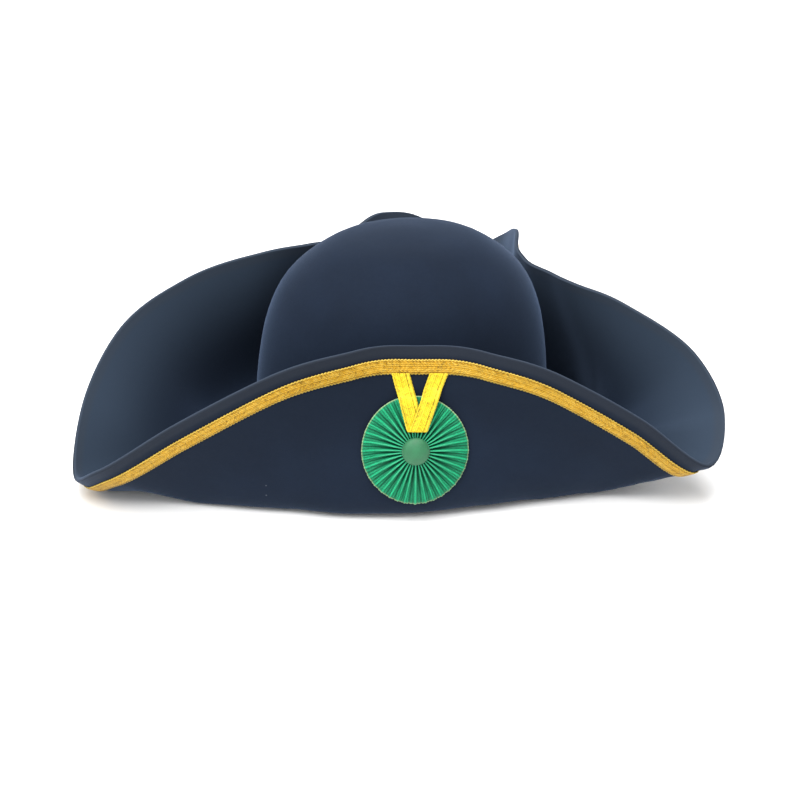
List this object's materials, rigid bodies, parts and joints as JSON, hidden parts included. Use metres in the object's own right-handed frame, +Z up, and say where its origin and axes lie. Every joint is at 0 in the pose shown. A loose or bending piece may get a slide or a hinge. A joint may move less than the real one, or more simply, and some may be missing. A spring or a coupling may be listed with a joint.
{
  "type": "tricorne hat",
  "caption": "Black felt tricorne hat edged with gold braid, with a pleated green ribbon cockade held by a folded loop of brighter gold braid.",
  "frame": {"origin": "on the plane the hat rests on, under the middle of the hat's own bounding box", "axes": "+Z up through the crown, -Y the way the cockade faces, +X along the cockaded flap from its left corner to its right corner as seen from outside, which is the hat's longest extent; the hat's front point is towards -X"},
  "size_m": [0.412, 0.3406, 0.1483],
  "materials": {
    "felt": "matt wool felt with a faint blue-grey nap",
    "gold_braid": "woven gold thread with a soft metallic sheen",
    "gold_loop": "woven bright gold thread with a soft metallic sheen",
    "green_ribbon": "pleated ribbed ribbon with a soft sheen",
    "green_button": "cloth-covered button, satin"
  },
  "bodies": {
    "root": {"felt_body": "felt", "brim_braid": "gold_braid", "cockade_loop": "gold_loop", "cockade_pleats": "green_ribbon", "cockade_button": "green_button"}
  },
  "joints": []
}
